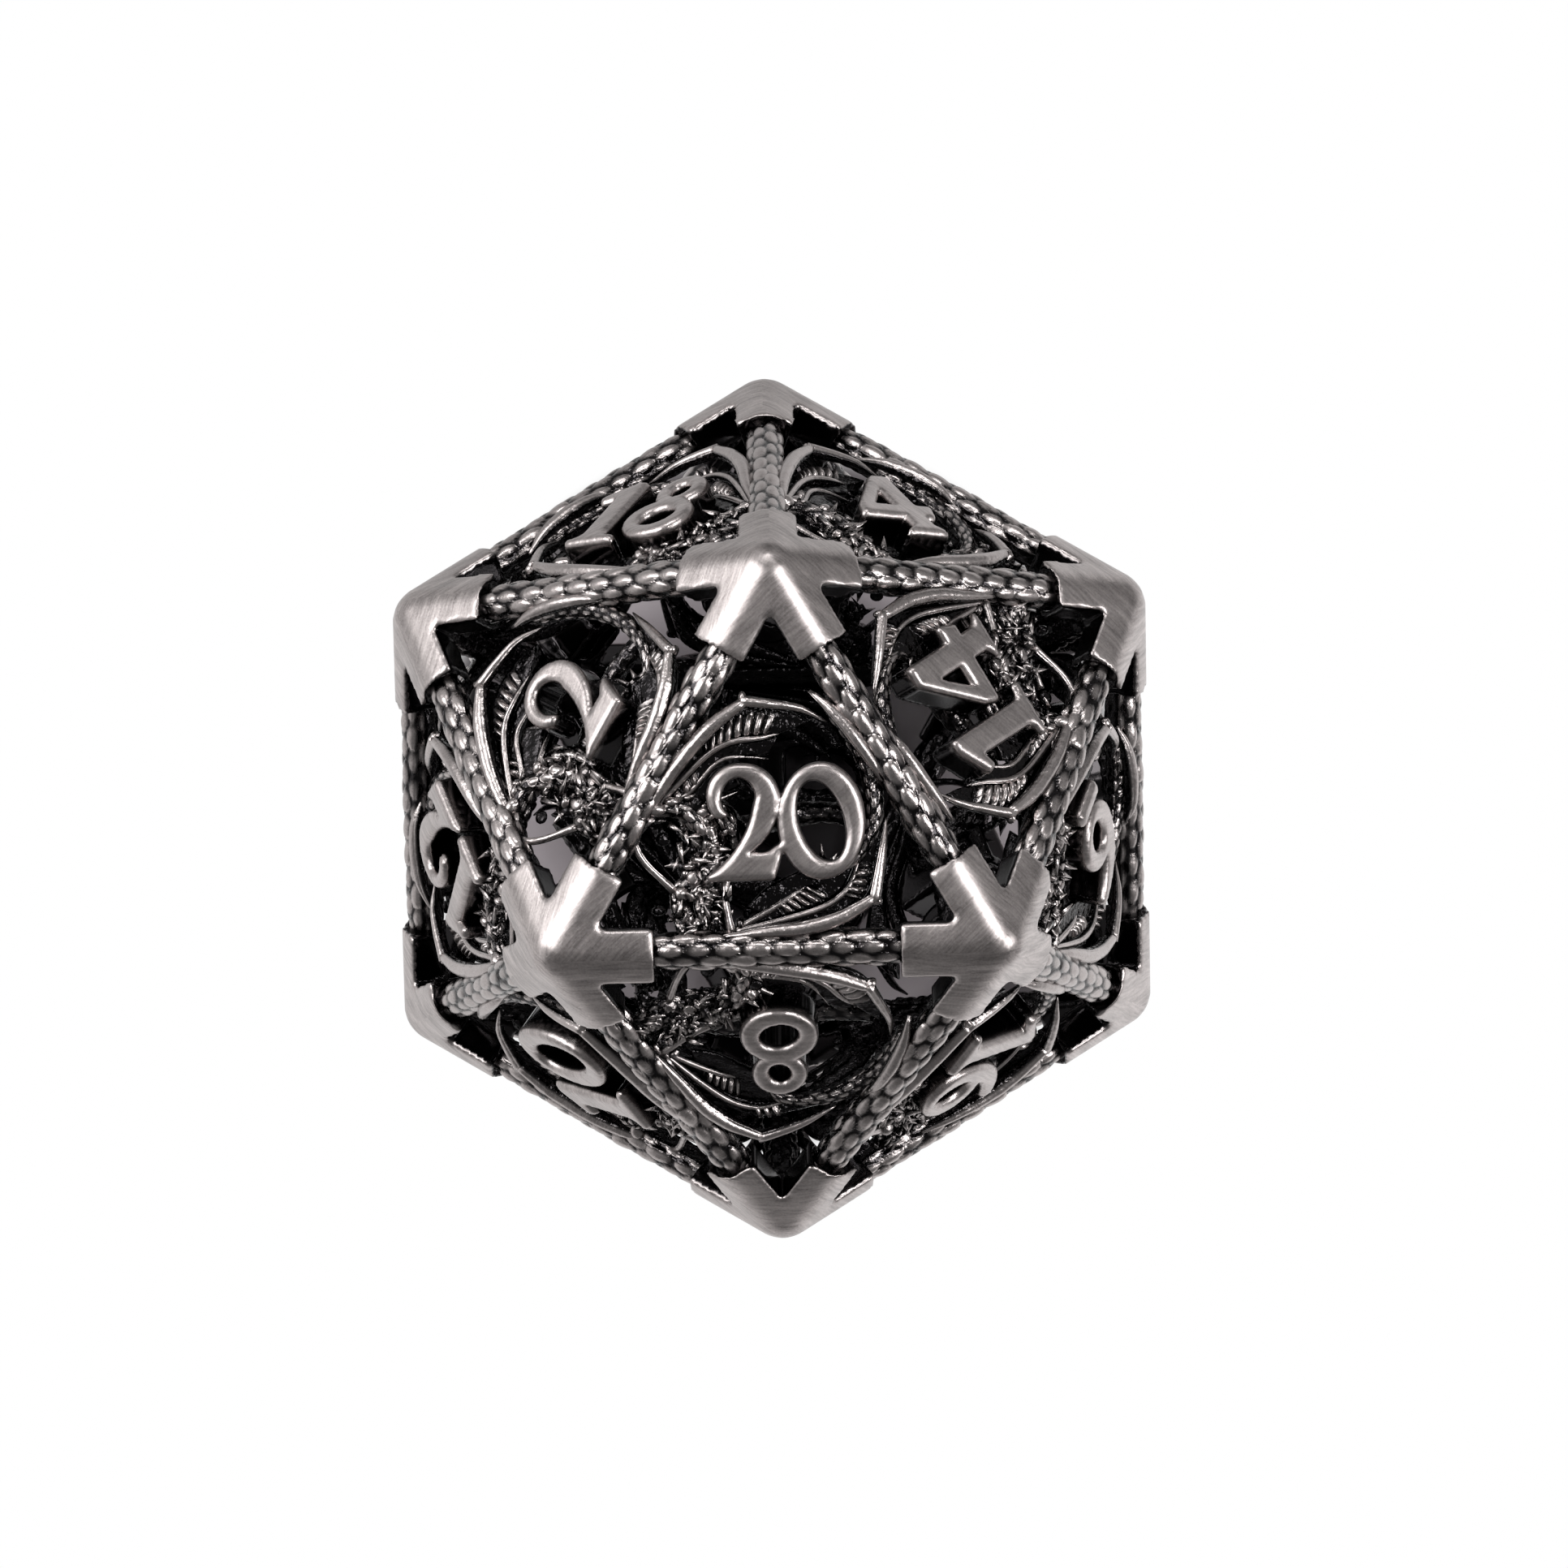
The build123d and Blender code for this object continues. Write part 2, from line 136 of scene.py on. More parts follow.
outwards = np.array([face_frame(number).col[2][:3] for number in faces])
sanding = np.array([face_frame(number, faces[number][4] - 90).inverted()[:2] for number in faces])


def dress(mesh):
    """Give a mesh what its finish reads: depth under the die's faces, and lines along the sanding."""
    points = np.zeros(3 * len(mesh.vertices))
    mesh.vertices.foreach_get("co", points)
    points = points.reshape(-1, 3)
    depth = (face_reach - ((points - np.array(centre)) @ outwards.T).max(axis=1)) / MM
    mesh.attributes.new("depth", "FLOAT", "POINT").data.foreach_set("value", depth)
    normals = np.zeros(3 * len(mesh.vertices))
    mesh.vertices.foreach_get("normal", normals)
    radial = points - np.array(centre)
    radial /= np.linalg.norm(radial, axis=1)[:, None]
    facing = (normals.reshape(-1, 3) * radial).sum(axis=1)
    mesh.attributes.new("facing", "FLOAT", "POINT").data.foreach_set("value", facing)
    middles = np.zeros(3 * len(mesh.polygons))
    sides = np.zeros(len(mesh.polygons), int)
    vertices = np.zeros(len(mesh.loops), int)
    mesh.polygons.foreach_get("center", middles)
    mesh.polygons.foreach_get("loop_total", sides)
    mesh.loops.foreach_get("vertex_index", vertices)
    nearest = ((middles.reshape(-1, 3) - np.array(centre)) @ outwards.T).argmax(axis=1)
    turned = sanding[np.repeat(nearest, sides)]
    place = np.einsum("nij,nj->ni", turned[:, :, :3], points[vertices]) + turned[:, :, 3]
    mesh.uv_layers.new(name="sanded").data.foreach_set("uv", (place / MM).ravel())


class Signal:
    """One output of a material's nodes, so that masks are written as sums and products."""

    def __init__(self, tree, socket):
        self.tree = tree
        self.socket = socket

    def node(self, kind, settings=None, inputs=None, output=0):
        """Add a node, its settings first and then its inputs, and give back one of its outputs."""
        made = self.tree.nodes.new(kind)
        for key, value in (settings or {}).items():
            setattr(made, key, value)
        for key, value in (inputs or {}).items():
            if isinstance(value, Signal):
                self.tree.links.new(made.inputs[key], value.socket)
            else:
                made.inputs[key].default_value = value
        return Signal(self.tree, made.outputs[output])

    def maths(self, operation, first, second):
        return self.node("ShaderNodeMath", {"operation": operation}, {0: first, 1: second})

    def __add__(self, other):
        return self.maths("ADD", self, other)

    def __sub__(self, other):
        return self.maths("SUBTRACT", self, other)

    def __rsub__(self, other):
        return self.maths("SUBTRACT", other, self)

    def __mul__(self, other):
        return self.maths("MULTIPLY", self, other)

    __radd__ = __add__
    __rmul__ = __mul__

    def rise(self, low, high):
        """0 below low, 1 above high, with a soft step between."""
        return self.node("ShaderNodeMapRange", {"interpolation_type": "SMOOTHSTEP"},
                         {"Value": self, "From Min": low, "From Max": high})

    def between(self, first, second):
        """Mix two colours by this mask."""
        return self.node("ShaderNodeMix", {"data_type": "RGBA"},
                         {"Factor": self, 6: first, 7: second}, output=2)


def antique_silver(name, polish_of, scratch=0.0, hammer=0.0):
    """Plated zinc alloy: polish_of gives the mask between black patina and rubbed silver.

    scratch is how clearly the sanding shows, and hammer how lumpy the cast skin is, in millimetres.
    """
    material = bpy.data.materials.new(name)
    material.use_nodes = True
    tree = material.node_tree
    shader = tree.nodes["Principled BSDF"]
    start = Signal(tree, None)
    place = start.node("ShaderNodeTexCoord", output=3)
    depth = start.node("ShaderNodeAttribute", {"attribute_name": "depth"}, output=2)
    crest = start.node("ShaderNodeAttribute", {"attribute_name": "crest"}, output=2)
    facing = start.node("ShaderNodeAttribute", {"attribute_name": "facing"}, output=2)
    lines = start.node("ShaderNodeUVMap", {"uv_map": "sanded"})
    blotch = start.node("ShaderNodeTexNoise", inputs={"Vector": place, "Scale": 520.0, "Detail": 3.0})
    lump = start.node("ShaderNodeTexNoise", inputs={"Vector": place, "Scale": 2600.0, "Detail": 3.0})
    grit = start.node("ShaderNodeTexNoise", inputs={"Vector": place, "Scale": 14000.0, "Detail": 2.0})
    drift = start.node("ShaderNodeTexNoise", inputs={"Vector": place, "Scale": 300.0}, output=1)
    wander = start.node("ShaderNodeVectorMath", {"operation": "MULTIPLY_ADD"},
                        {0: drift, 1: (0.7, 0.7, 0.0), 2: lines})
    fine = start.node("ShaderNodeVectorMath", {"operation": "MULTIPLY"}, {0: wander, 1: (10.0, 0.8, 1.0)})
    broad = start.node("ShaderNodeVectorMath", {"operation": "MULTIPLY"}, {0: wander, 1: (2.4, 0.5, 1.0)})
    streak = start.node("ShaderNodeTexNoise",
                        inputs={"Vector": fine, "Scale": 1.0, "Detail": 5.0, "Roughness": 0.7})
    band = start.node("ShaderNodeTexNoise", inputs={"Vector": broad, "Scale": 1.0, "Detail": 2.0})
    polish = polish_of(depth, crest, blotch) * facing.rise(-0.15, 0.35)
    tone = (0.9 + (1.4 * scratch) * (streak - 0.5) + (0.7 * scratch) * (band - 0.5) + 0.4 * (blotch - 0.5)
            + 0.5 * (grit - 0.5))
    rubbed = start.node("ShaderNodeVectorMath", {"operation": "SCALE"}, {0: SILVER[:3], "Scale": tone})
    colour = polish.between(PATINA, rubbed)
    rough = 0.14 + polish * (0.06 + 0.05 * scratch + 0.08 * blotch + 0.1 * grit)
    height = (0.005 * scratch) * polish * streak + hammer * lump * (1 - 0.7 * polish) + 0.001 * grit
    bump = start.node("ShaderNodeBump", inputs={"Strength": 1.0, "Distance": MM, "Height": height})
    for key, signal in (("Base Color", colour), ("Roughness", rough), ("Normal", bump)):
        tree.links.new(shader.inputs[key], signal.socket)
    shader.inputs["Metallic"].default_value = 1.0
    return material


def finish_piece(name, mesh, material, node):
    """Make a finished piece that stands for its CAD node and rides on the die's one body."""
    dress(mesh)
    mesh.materials.clear()
    mesh.materials.append(material)
    mesh.shade_smooth()
    piece = bpy.data.objects.new(name, mesh)
    bpy.context.scene.collection.objects.link(piece)
    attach(piece, "root")
    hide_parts(node)
    return piece


def from_cad(node):
    """Merged copy of a CAD node's mesh with its flat faces whole again."""
    copy = bmesh.new()
    copy.from_mesh(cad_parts[node].data)
    bmesh.ops.remove_doubles(copy, verts=copy.verts, dist=0.0005 * MM)
    bmesh.ops.dissolve_limit(copy, angle_limit=math.radians(FLAT_ANGLE), verts=copy.verts, edges=copy.edges)
    return copy


def rounded(copy, weight_of, width, segments, grain, softening, swelling=0.0):
    """Round the copy's edges that weight_of picks, then soften it all over in a fine even mesh.

    swelling is how far the softened skin then moves outwards.
    """
    weights = copy.edges.layers.float.new("bevel_weight_edge")
    for line in copy.edges:
        if len(line.link_faces) == 2 and line.calc_face_angle_signed(0) > math.radians(SHARP_ANGLE):
            line[weights] = weight_of(line)
    mesh = bpy.data.meshes.new("rounding")
    copy.to_mesh(mesh)
    copy.free()
    holder = bpy.data.objects.new("rounding", mesh)
    bpy.context.scene.collection.objects.link(holder)
    bevel = holder.modifiers.new("round", "BEVEL")
    bevel.limit_method = "WEIGHT"
    bevel.width = width
    bevel.segments = segments
    bevel.profile = 0.5
    bevel.use_clamp_overlap = False
    remesh = holder.modifiers.new("remesh", "REMESH")
    remesh.mode = "VOXEL"
    remesh.voxel_size = grain
    smooth = holder.modifiers.new("soften", "SMOOTH")
    smooth.factor = 0.5
    smooth.iterations = softening
    swell = holder.modifiers.new("swell", "DISPLACE")
    swell.strength = swelling
    swell.mid_level = 0.0
    made = bpy.data.meshes.new_from_object(holder.evaluated_get(bpy.context.evaluated_depsgraph_get()))
    bpy.data.objects.remove(holder)
    return made


def outer_faces(line):
    """How many of an edge's two faces lie on the die's own twenty faces."""
    return sum((outwards @ np.array(face.normal)).max() > 0.999 for face in line.link_faces)


def fill_sockets(copy, corner):
    """Thicken the cap's thin walls along its ridges with a bar over each rod's end."""
    for other in corners.values():
        along = other - corner
        if not 0 < along.length < 1.01 * edge:
            continue
        along.normalize()
        up = (corner + other - 2 * centre).normalized()
        side = along.cross(up)
        start, end = BAR_REACH
        section = copy.faces.new(
            [copy.verts.new(corner + (along * start + side * x + up * z) * MM) for x, z in BAR_SECTION])
        made = bmesh.ops.extrude_face_region(copy, geom=[section], use_keep_orig=True)["geom"]
        bmesh.ops.translate(copy, vec=along * (end - start) * MM,
                            verts=[item for item in made if isinstance(item, bmesh.types.BMVert)])
    bmesh.ops.recalc_face_normals(copy, faces=copy.faces)


cap_silver = antique_silver(
    "cap_silver", lambda depth, crest, blotch: 1 - (depth + 0.3 * blotch).rise(0.3, 0.85), scratch=1.0)
for corner in corners:
    node = f"corner_cap_{corner}"
    cap_shape = from_cad(node)
    fill_sockets(cap_shape, corners[corner])
    cap = rounded(cap_shape, lambda line: outer_faces(line) == 2, RIDGE_ROUND, 4, CAP_GRAIN, CAP_SOFTENING)
    finish_piece(f"cap_{corner}", cap, cap_silver, node)


# Rods. Thirty round bars along the edges, cast with eight rows of almond-shaped scales that
# overlap like a lizard's tail. Their crowns are rubbed bright and the gaps stay black.

# In millimetres
ROD_RADIUS = 0.66
ROD_NECK = 0.5              # radius where it goes into a cap
ROD_DEPTH = 0.85            # of its middle, under the die's edge
ROD_SOCKET = 3.15           # from the die's corner to the rod's end
ROD_ROWS = 8                # of scales round it
ROD_PITCH = 0.93            # of its scales
ROD_RELIEF = 0.22           # of its scales, as a part of its radius
ROD_FINENESS = 8            # mesh steps to a scale
SMOOTH_STEP = 0.22          # mesh step along a smooth tube
SMOOTH_SIDES = 12
WELD = 0.0001


def smooth_line(points, count):
    """Evenly spaced points on a smooth curve through the given ones."""
    points = np.array(points, float)
    ends = np.vstack([2 * points[0] - points[1], points, 2 * points[-1] - points[-2]])
    knots = np.linspace(0, len(points) - 1 - 1e-9, 12 * len(points))
    span = knots.astype(int)
    t = (knots - span)[:, None]
    a, b, c, d = ends[span], ends[span + 1], ends[span + 2], ends[span + 3]
    curve = 0.5 * (2 * b + (c - a) * t + (2 * a - 5 * b + 4 * c - d) * t**2 + (3 * b - a - 3 * c + d) * t**3)
    travelled = np.concatenate([[0], np.cumsum(np.linalg.norm(np.diff(curve, axis=0), axis=1))])
    evenly = np.linspace(0, travelled[-1], count)
    return np.stack([np.interp(evenly, travelled, curve[:, k]) for k in range(3)], axis=1), travelled[-1]


def scale_height(along, around, rows):
    """Height from 0 to 1 of staggered almond scales, one unit long and one unit wide."""
    height = np.zeros(len(along))
    for row in (np.floor(around), np.floor(around) + 1):
        step = along - 0.5 * (row % 2)
        cell = np.round(step)
        luck = np.modf(np.abs(np.sin(12.9898 * cell + 78.233 * (row % rows)) * 43758.5453))[0]
        step = step - cell + 0.16 * (luck - 0.5)
        rise = 1 - (np.abs(step) / (0.5 + 0.12 * luck))**1.7 - ((around - row) / (0.54 + 0.14 * luck))**2
        height = np.maximum(height, np.sqrt(np.clip(rise, 0, 1)) * (0.62 + 0.38 * luck - 0.55 * step))
    return np.clip(height, 0, 1)


def tube_grid(shape, steps, sides):
    """A grid to bend into a tube: its vertices, and how far along, how far round and in which ring."""
    grid = bmesh.ops.create_grid(shape, x_segments=steps - 1, y_segments=sides, size=1)["verts"]
    flat = np.array([vertex.co for vertex in grid])
    along = (flat[:, 0] + 1) / 2
    return grid, along, flat[:, 1] * math.pi, np.rint(along * (steps - 1)).astype(int)


def close_tube(shape, grid, places, shines):
    """Put a tube's grid in its places with its shine, join its seam and close its ends."""
    crests = shape.verts.layers.float["crest"]
    for vertex, place, shine in zip(grid, places, shines):
        vertex.co = place
        vertex[crests] = shine
    bmesh.ops.remove_doubles(shape, verts=grid, dist=WELD)
    rims = {line for vertex in grid if vertex.is_valid for line in vertex.link_edges if line.is_boundary}
    bmesh.ops.holes_fill(shape, edges=list(rims))


def limb(shape, points, widths, tall=1.0, rows=0, pitch=0.5, relief=0.0, fine=5, seed=0):
    """Add a closed tapering tube along points, in millimetres, smooth or covered in scales.

    A smooth tube shines along its top, and a scaled one on its scales.
    """
    rough_length = np.linalg.norm(np.diff(np.array(points, float), axis=0), axis=1).sum()
    steps = max(6, int(rough_length / pitch * fine)) if rows else max(8, int(rough_length / SMOOTH_STEP))
    sides = rows * max(4, fine - 1) if rows else SMOOTH_SIDES
    line, length = smooth_line(points, steps)
    grid, along, turn, ring = tube_grid(shape, steps, sides)
    tangent = np.gradient(line, axis=0)
    tangent /= np.linalg.norm(tangent, axis=1)[:, None]
    side = np.cross(tangent, (0, 0, 1))
    side /= np.linalg.norm(side, axis=1)[:, None]
    upper = np.cross(side, tangent)
    radius = np.interp(along, np.linspace(0, 1, len(widths)), widths)
    if rows:
        bump = scale_height(along * length / pitch + seed * 0.37, (turn / math.pi + 1) * rows / 2 + 0.5, rows)
        crest = bump
    else:
        bump = np.ones(len(along))
        crest = 0.35 + 0.65 * np.clip(np.cos(turn), 0, 1)
    radius = radius * (1 - relief * (1 - bump))
    across = (radius * np.sin(turn))[:, None] * side[ring]
    lift = (radius * tall * np.cos(turn))[:, None] * upper[ring]
    close_tube(shape, grid, line[ring] + across + lift, crest)


def closed_mesh(shape, scale, name):
    """Turn a shape's shells outwards and give it back as a mesh in metres."""
    bmesh.ops.recalc_face_normals(shape, faces=shape.faces)
    shape.transform(Matrix.Scale(scale, 4))
    mesh = bpy.data.meshes.new(name)
    shape.to_mesh(mesh)
    shape.free()
    return mesh


def many(mesh, matrices):
    """One mesh of several copies, each moved by its matrix."""
    joined = bmesh.new()
    for matrix in matrices:
        copy = mesh.copy()
        copy.transform(matrix)
        joined.from_mesh(copy)
        bpy.data.meshes.remove(copy)
    made = bpy.data.meshes.new(mesh.name)
    joined.to_mesh(made)
    joined.free()
    return made


rod_shape = bmesh.new()
rod_shape.verts.layers.float.new("crest")
half_rod = edge / MM / 2 - ROD_SOCKET
limb(rod_shape, [(-half_rod, 0, 0), (0, 0, 0), (half_rod, 0, 0)], [ROD_NECK, *[ROD_RADIUS] * 8, ROD_NECK],
     rows=ROD_ROWS, pitch=ROD_PITCH, relief=ROD_RELIEF, fine=ROD_FINENESS)
rod_mesh = closed_mesh(rod_shape, MM, "rod")

ROD_GROUPS = {
    ("top", "top"): "rods_top_triangle",
    ("top", "upper"): "rods_upper_slant",
    ("lower", "top"): "rods_upper_drop",
    ("lower", "upper"): "rods_waist_zigzag",
    ("base", "upper"): "rods_lower_drop",
    ("base", "lower"): "rods_lower_slant",
    ("base", "base"): "rods_base_triangle",
}
rod_silver = antique_silver(
    "rod_silver", lambda depth, crest, blotch: (crest + 0.6 * (blotch - 0.5)).rise(0.16, 0.66), scratch=0.1,
    hammer=0.07)
placed = {group: [] for group in ROD_GROUPS.values()}
names = sorted(corners)
for index, first in enumerate(names):
    for second in names[index + 1:]:
        run = corners[second] - corners[first]
        if run.length > 1.1 * edge:
            continue
        middle = (corners[first] + corners[second]) / 2
        outward = (middle - centre).normalized()
        across = outward.cross(run.normalized())
        axes = Matrix((run.normalized(), across, outward)).transposed().to_4x4()
        at = Matrix.Translation(middle - outward * ROD_DEPTH * MM) @ axes
        tiers = tuple(sorted((first.split("_")[0], second.split("_")[0])))
        placed[ROD_GROUPS[tiers]].append(at)
for group, matrices in placed.items():
    finish_piece(f"scaled_{group}", many(rod_mesh, matrices), rod_silver, group)


# Numerals. Plain figures in the manner of a broad pen, cast standing in their windows. Their tops
# are sanded with the caps and softened at the rim, and their walls keep the black patina.

NUMERAL_ROUND = 0.11 * MM
NUMERAL_GRAIN = 0.08 * MM   # mesh size of a numeral
NUMERAL_SOFTENING = 2       # passes of smoothing
NUMERAL_SWELLING = 0.07 * MM
RIM_DEPTH = 0.3 * MM        # how far under the die's face a numeral's top can lie


def rim(line):
    """1 for an edge round a numeral's top, which lies just below the die's face."""
    heights = [(outwards @ np.array(vertex.co - centre)).max() for vertex in line.verts]
    return outer_faces(line) == 1 and min(heights) > face_reach - RIM_DEPTH


numeral_silver = antique_silver(
    "numeral_silver", lambda depth, crest, blotch: 1 - (depth + 0.2 * blotch).rise(0.32, 0.6), scratch=0.8)
for number in faces:
    node = f"numeral_{number:02d}"
    figure = rounded(from_cad(node), rim, NUMERAL_ROUND, 3, NUMERAL_GRAIN, NUMERAL_SOFTENING,
                     NUMERAL_SWELLING)
    finish_piece(f"figure_{number:02d}", figure, numeral_silver, node)


# Dragons. One generic winged dragon, cast in every window with its two wings folded round the
# numeral. Its wing edges and crests are rubbed bright; skins, bones and scales sink into black.

WINGS = (
    # Spars: the two leading edges, each in two runs that meet at the angular wrist
    ([(-0.288, -0.012, -0.85), (-0.252, 0.05, -0.6), (-0.2, 0.125, -0.45), (-0.13, 0.202, -0.4),
      (-0.058, 0.254, -0.38)], [0.12, 0.22, 0.25, 0.25, 0.17], 1.3),
    ([(-0.066, 0.256, -0.38), (0.0, 0.247, -0.45), (0.06, 0.236, -0.58), (0.115, 0.206, -0.85)],
     [0.19, 0.16, 0.12, 0.03], 1.3),
    ([(-0.112, -0.242, -0.6), (-0.03, -0.233, -0.46), (0.06, -0.226, -0.4), (0.13, -0.207, -0.38),
      (0.172, -0.186, -0.38), (0.208, -0.165, -0.38)], [0.08, 0.18, 0.24, 0.26, 0.23, 0.17], 1.3),
    ([(0.206, -0.174, -0.38), (0.217, -0.12, -0.43), (0.226, -0.07, -0.53), (0.236, 0.0, -0.8)],
     [0.19, 0.17, 0.13, 0.03], 1.3),
)
BONES = (
    ([(-0.262, 0.022, -0.9), (-0.2, 0.085, -0.82), (-0.14, 0.142, -0.78), (-0.09, 0.168, -0.76),
      (-0.03, 0.175, -0.82), (0.014, 0.184, -1.0)], [0.12, 0.12, 0.12, 0.11, 0.09, 0.02], 1.2),
    ([(-0.25, 0.02, -1.0), (-0.18, 0.062, -0.92), (-0.12, 0.124, -0.92), (-0.07, 0.136, -0.98),
      (-0.01, 0.13, -1.15)], [0.12, 0.11, 0.1, 0.08, 0.02], 1.2),
    ([(-0.25, 0.018, -1.0), (-0.17, 0.027, -0.95), (-0.11, 0.05, -1.0), (-0.06, 0.068, -1.2)],
     [0.12, 0.11, 0.09, 0.02], 1.2),
    ([(-0.09, -0.232, -0.85), (0.02, -0.208, -0.78), (0.1, -0.184, -0.78), (0.15, -0.148, -0.8),
      (0.172, -0.1, -0.9), (0.18, -0.066, -1.1)], [0.09, 0.11, 0.12, 0.11, 0.08, 0.02], 1.2),
    ([(-0.09, -0.23, -0.9), (-0.02, -0.192, -0.88), (0.04, -0.156, -0.92), (0.092, -0.118, -1.15)],
     [0.1, 0.11, 0.09, 0.02], 1.2),
    ([(-0.1, -0.09, -1.1), (-0.108, -0.15, -0.85), (-0.104, -0.19, -0.8), (-0.094, -0.238, -0.8)],
     [0.18, 0.13, 0.12, 0.14], 1.2),
    ([(-0.255, 0.012, -0.75), (-0.288, -0.012, -0.75), (-0.297, -0.036, -0.8), (-0.275, -0.082, -0.8),
      (-0.215, -0.142, -0.95)], [0.12, 0.13, 0.12, 0.11, 0.15], 1.2),
    ([(0.08, 0.272, -0.7), (0.12, 0.237, -0.5), (0.165, 0.185, -0.42), (0.207, 0.122, -0.45),
      (0.238, 0.066, -0.75)], [0.06, 0.2, 0.25, 0.2, 0.04], 1.2),
)
# Skins: leading line, trailing line, the number of ribs' pitches, and the stretch that has ribs
SKINS = (
    ([(-0.25, 0.04), (-0.18, 0.138), (-0.11, 0.21), (-0.05, 0.243), (0.03, 0.233), (0.075, 0.208)],
     [(-0.24, 0.035), (-0.175, 0.1), (-0.11, 0.158), (-0.06, 0.174), (0.0, 0.18), (0.04, 0.192)],
     17, 0.4, 0.86),
    ([(-0.25, 0.03), (-0.2, 0.08), (-0.14, 0.14), (-0.09, 0.165), (-0.03, 0.17), (0.01, 0.178)],
     [(-0.24, 0.022), (-0.18, 0.06), (-0.125, 0.118), (-0.08, 0.132), (-0.04, 0.136), (-0.01, 0.14)],
     11, 0.1, 0.4),
    ([(-0.235, 0.026), (-0.18, 0.056), (-0.125, 0.112), (-0.09, 0.12)],
     [(-0.23, 0.02), (-0.17, 0.03), (-0.11, 0.055), (-0.065, 0.075)], 7, 0.9, 1.0),
    ([(-0.07, -0.232), (0.05, -0.218), (0.13, -0.2), (0.19, -0.16), (0.211, -0.09), (0.225, -0.03)],
     [(-0.06, -0.222), (0.03, -0.2), (0.1, -0.178), (0.145, -0.143), (0.17, -0.1), (0.19, -0.05)],
     19, 0.62, 0.85),
    ([(-0.07, -0.222), (0.03, -0.2), (0.1, -0.178), (0.142, -0.145), (0.165, -0.1)],
     [(-0.06, -0.212), (0.0, -0.178), (0.05, -0.145), (0.09, -0.12), (0.115, -0.1)], 13, 0.3, 0.72),
    ([(-0.02, -0.2), (0.04, -0.165), (0.09, -0.13), (0.13, -0.09)],
     [(-0.06, -0.18), (-0.02, -0.14), (0.04, -0.11), (0.1, -0.08)], 7, 0.9, 1.0),
)
# Scaled limbs: route, half widths in millimetres, rows of scales and their pitch
SCALED = (
    ([(-0.25, 0.03, -0.9), (-0.2, 0.03, -0.95), (-0.155, 0.0, -1.15), (-0.132, -0.06, -1.3),
      (-0.145, -0.12, -1.25), (-0.175, -0.165, -1.15)], [0.24, 0.42, 0.55, 0.66, 0.6, 0.3], 10, 0.58),
    ([(-0.2, 0.045, -1.2), (-0.13, 0.035, -1.35), (-0.09, -0.02, -1.45), (-0.085, -0.09, -1.4)],
     [0.2, 0.4, 0.5, 0.24], 9, 0.52),
    ([(-0.15, -0.11, -1.2), (-0.205, -0.148, -1.05), (-0.206, -0.2, -1.0), (-0.2, -0.245, -0.95)],
     [0.42, 0.32, 0.22, 0.16], 8, 0.42),
    ([(-0.13, -0.12, -1.25), (-0.16, -0.175, -1.1), (-0.152, -0.21, -1.0), (-0.148, -0.245, -0.95)],
     [0.36, 0.28, 0.2, 0.14], 8, 0.42),
    ([(0.125, 0.242, -0.9), (0.168, 0.185, -0.9), (0.198, 0.12, -0.95), (0.211, 0.05, -0.95),
      (0.204, -0.02, -0.95), (0.178, -0.075, -0.95), (0.142, -0.1, -1.0), (0.112, -0.088, -1.05)],
     [0.34, 0.4, 0.4, 0.37, 0.34, 0.28, 0.22, 0.12], 9, 0.5),
)
# Skull, brow, knee and the two wrists: place, depth, half sizes in millimetres, shine
KNOBS = (
    (-0.25, 0.03, 0.72, (0.36, 0.24, 0.3), 0.75),
    (-0.215, 0.045, 0.75, (0.26, 0.15, 0.2), 0.8),
    (-0.2, -0.15, 0.9, (0.26, 0.26, 0.26), 0.55),
    (-0.062, 0.262, 0.42, (0.13, 0.2, 0.2), 0.9),
    (0.211, -0.172, 0.42, (0.2, 0.13, 0.2), 0.9),
)
# Horns at the head and the tail's tip: place, bearing, length in millimetres
HORNS = (
    (-0.235, 0.05, 60, 0.7), (-0.255, 0.045, 110, 0.5), (-0.19, 0.05, 20, 0.4),
    (0.1, -0.085, 95, 0.55), (0.118, -0.092, 60, 0.4), (0.09, -0.09, 150, 0.35),
)
HORN_DEPTH = 0.85
HORN_LEAN = 78
HORN_RADIUS = 0.12
RIB_FINENESS = 7            # mesh steps to a rib
SKIN_SIDES = 16
BARB_COUNT = 70
LUMP_COUNT = 60
SEED = 7
BARRED = (6, 9)             # the numerals with a bar under them
# The tail bar behind the numeral, and the one across it behind a numeral's bar
HOLD = ((-0.2, -0.012), (-0.1, -0.022), (0.0, 0.0), (0.1, 0.014), (0.2, -0.006))
SPINE = ((0.0, 0.06), (0.0, -0.06), (0.0, -0.175))
HOLD_DEPTH = 1.72
HOLD_RADIUS = 0.44


def fractions(points):
    """Points given as fractions of the edge, with depths in millimetres, all in millimetres."""
    return [(x * edge / MM, y * edge / MM, *rest) for x, y, *rest in points]


